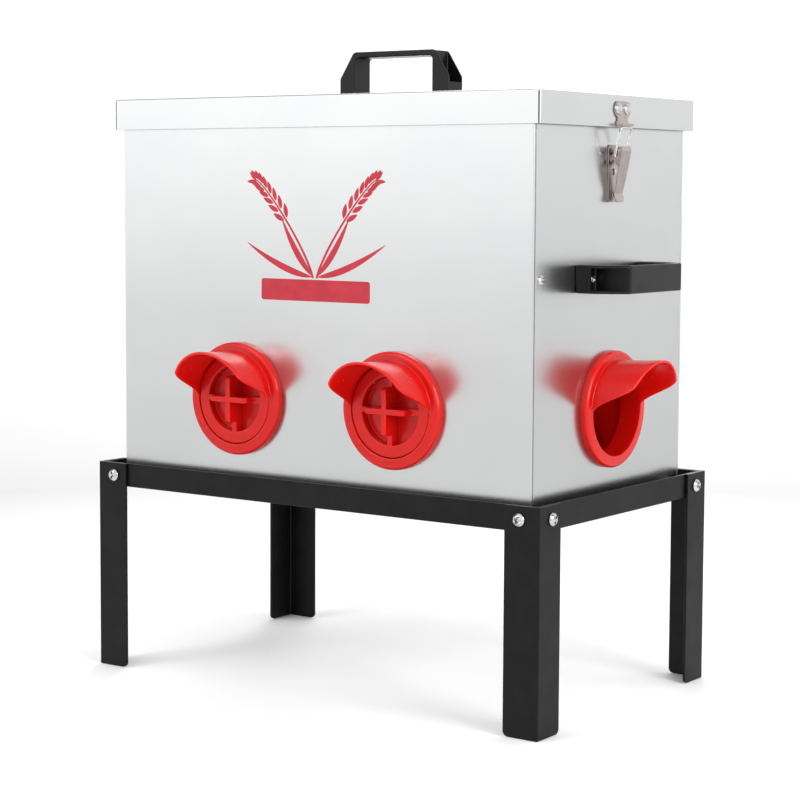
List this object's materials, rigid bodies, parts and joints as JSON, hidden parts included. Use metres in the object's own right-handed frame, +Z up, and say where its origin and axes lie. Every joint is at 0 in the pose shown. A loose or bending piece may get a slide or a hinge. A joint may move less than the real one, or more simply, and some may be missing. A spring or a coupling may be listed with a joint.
{
  "type": "gravity poultry feeder",
  "caption": "Box-shaped sheet-steel poultry feeder on an angle-iron stand, with a lift-off lid held by toggle latches, hooded red feeding ports and push-in plugs.",
  "frame": {"origin": "on the floor under the middle of the stand", "axes": "+Z up, +X to the right along the long side, -Y to the front, where two plugged ports are"},
  "size_m": [0.5536, 0.3596, 0.5763],
  "materials": {
    "sheet_steel": "satin",
    "black_paint": "semi-matt powder coat",
    "black_plastic": "fine moulded texture",
    "red_plastic": "satin gloss",
    "latch_steel": "bright stainless",
    "zinc_screw": "bright zinc"
  },
  "bodies": {
    "hopper": {"side_panel_left": "sheet_steel", "side_panel_right": "sheet_steel", "front_panel": "sheet_steel", "back_panel": "sheet_steel", "floor_pan": "sheet_steel", "side_handle_left": "black_plastic", "side_handle_right": "black_plastic", "seam_screw_front_left": "zinc_screw", "seam_screw_front_right": "zinc_screw", "seam_screw_back_left": "zinc_screw", "seam_screw_back_right": "zinc_screw", "port_front_left": "red_plastic", "port_front_right": "red_plastic", "port_back_left": "red_plastic", "port_back_right": "red_plastic", "port_left": "red_plastic", "port_right": "red_plastic", "elbow_front_left": "red_plastic", "elbow_front_right": "red_plastic", "elbow_back_left": "red_plastic", "elbow_back_right": "red_plastic", "elbow_left": "red_plastic", "elbow_right": "red_plastic", "latch_base_left": "latch_steel", "latch_base_right": "latch_steel", "latch_pin_left": "latch_steel", "latch_pin_right": "latch_steel", "leg_front_left": "black_paint", "leg_front_right": "black_paint", "leg_back_left": "black_paint", "leg_back_right": "black_paint", "rail_front": "black_paint", "rail_back": "black_paint", "rail_left": "black_paint", "rail_right": "black_paint", "stand_screw_front_left_face": "zinc_screw", "stand_screw_front_left_side": "zinc_screw", "stand_screw_front_right_face": "zinc_screw", "stand_screw_front_right_side": "zinc_screw", "stand_screw_back_left_face": "zinc_screw", "stand_screw_back_left_side": "zinc_screw", "stand_screw_back_right_face": "zinc_screw", "stand_screw_back_right_side": "zinc_screw"},
    "lid": {"lid": "sheet_steel", "lid_handle": "black_plastic", "keeper_left": "latch_steel", "keeper_right": "latch_steel"},
    "lever_right": {"latch_lever_right": "latch_steel"},
    "bail_right": {"latch_bail_right": "latch_steel"},
    "lever_left": {"latch_lever_left": "latch_steel"},
    "bail_left": {"latch_bail_left": "latch_steel"},
    "plug_front_left": {"plug_front_left": "red_plastic"},
    "plug_front_right": {"plug_front_right": "red_plastic"},
    "plug_back_left": {"plug_back_left": "red_plastic"},
    "plug_back_right": {"plug_back_right": "red_plastic"}
  },
  "joints": [
    {"name": "lid_lift", "type": "slide", "parent": "hopper", "child": "lid", "axis": [0, 0, 1], "range_m": [0, 0.12]},
    {"name": "latch_right_open", "type": "hinge", "parent": "hopper", "child": "lever_right", "pos_m": [0.235, 0, 0.484], "axis": [0, -1, 0], "range_deg": [0, 120]},
    {"name": "latch_right_bail", "type": "hinge", "parent": "lever_right", "child": "bail_right", "pos_m": [0.2322, 0, 0.4785], "axis": [0, -1, 0], "range_deg": [-160, 0]},
    {"name": "latch_left_open", "type": "hinge", "parent": "hopper", "child": "lever_left", "pos_m": [-0.235, 0, 0.484], "axis": [0, 1, 0], "range_deg": [0, 120]},
    {"name": "latch_left_bail", "type": "hinge", "parent": "lever_left", "child": "bail_left", "pos_m": [-0.2322, 0, 0.4785], "axis": [0, 1, 0], "range_deg": [-160, 0]},
    {"name": "plug_front_left_pull", "type": "slide", "parent": "hopper", "child": "plug_front_left", "axis": [0, -1, 0], "range_m": [0, 0.07]},
    {"name": "plug_front_right_pull", "type": "slide", "parent": "hopper", "child": "plug_front_right", "axis": [0, -1, 0], "range_m": [0, 0.07]},
    {"name": "plug_back_left_pull", "type": "slide", "parent": "hopper", "child": "plug_back_left", "axis": [0, 1, 0], "range_m": [0, 0.07]},
    {"name": "plug_back_right_pull", "type": "slide", "parent": "hopper", "child": "plug_back_right", "axis": [0, 1, 0], "range_m": [0, 0.07]}
  ],
  "couplings": [
    {"joint": "latch_right_bail", "follows": "latch_right_open", "ratio": -1.3333},
    {"joint": "latch_left_bail", "follows": "latch_left_open", "ratio": -1.3333}
  ]
}
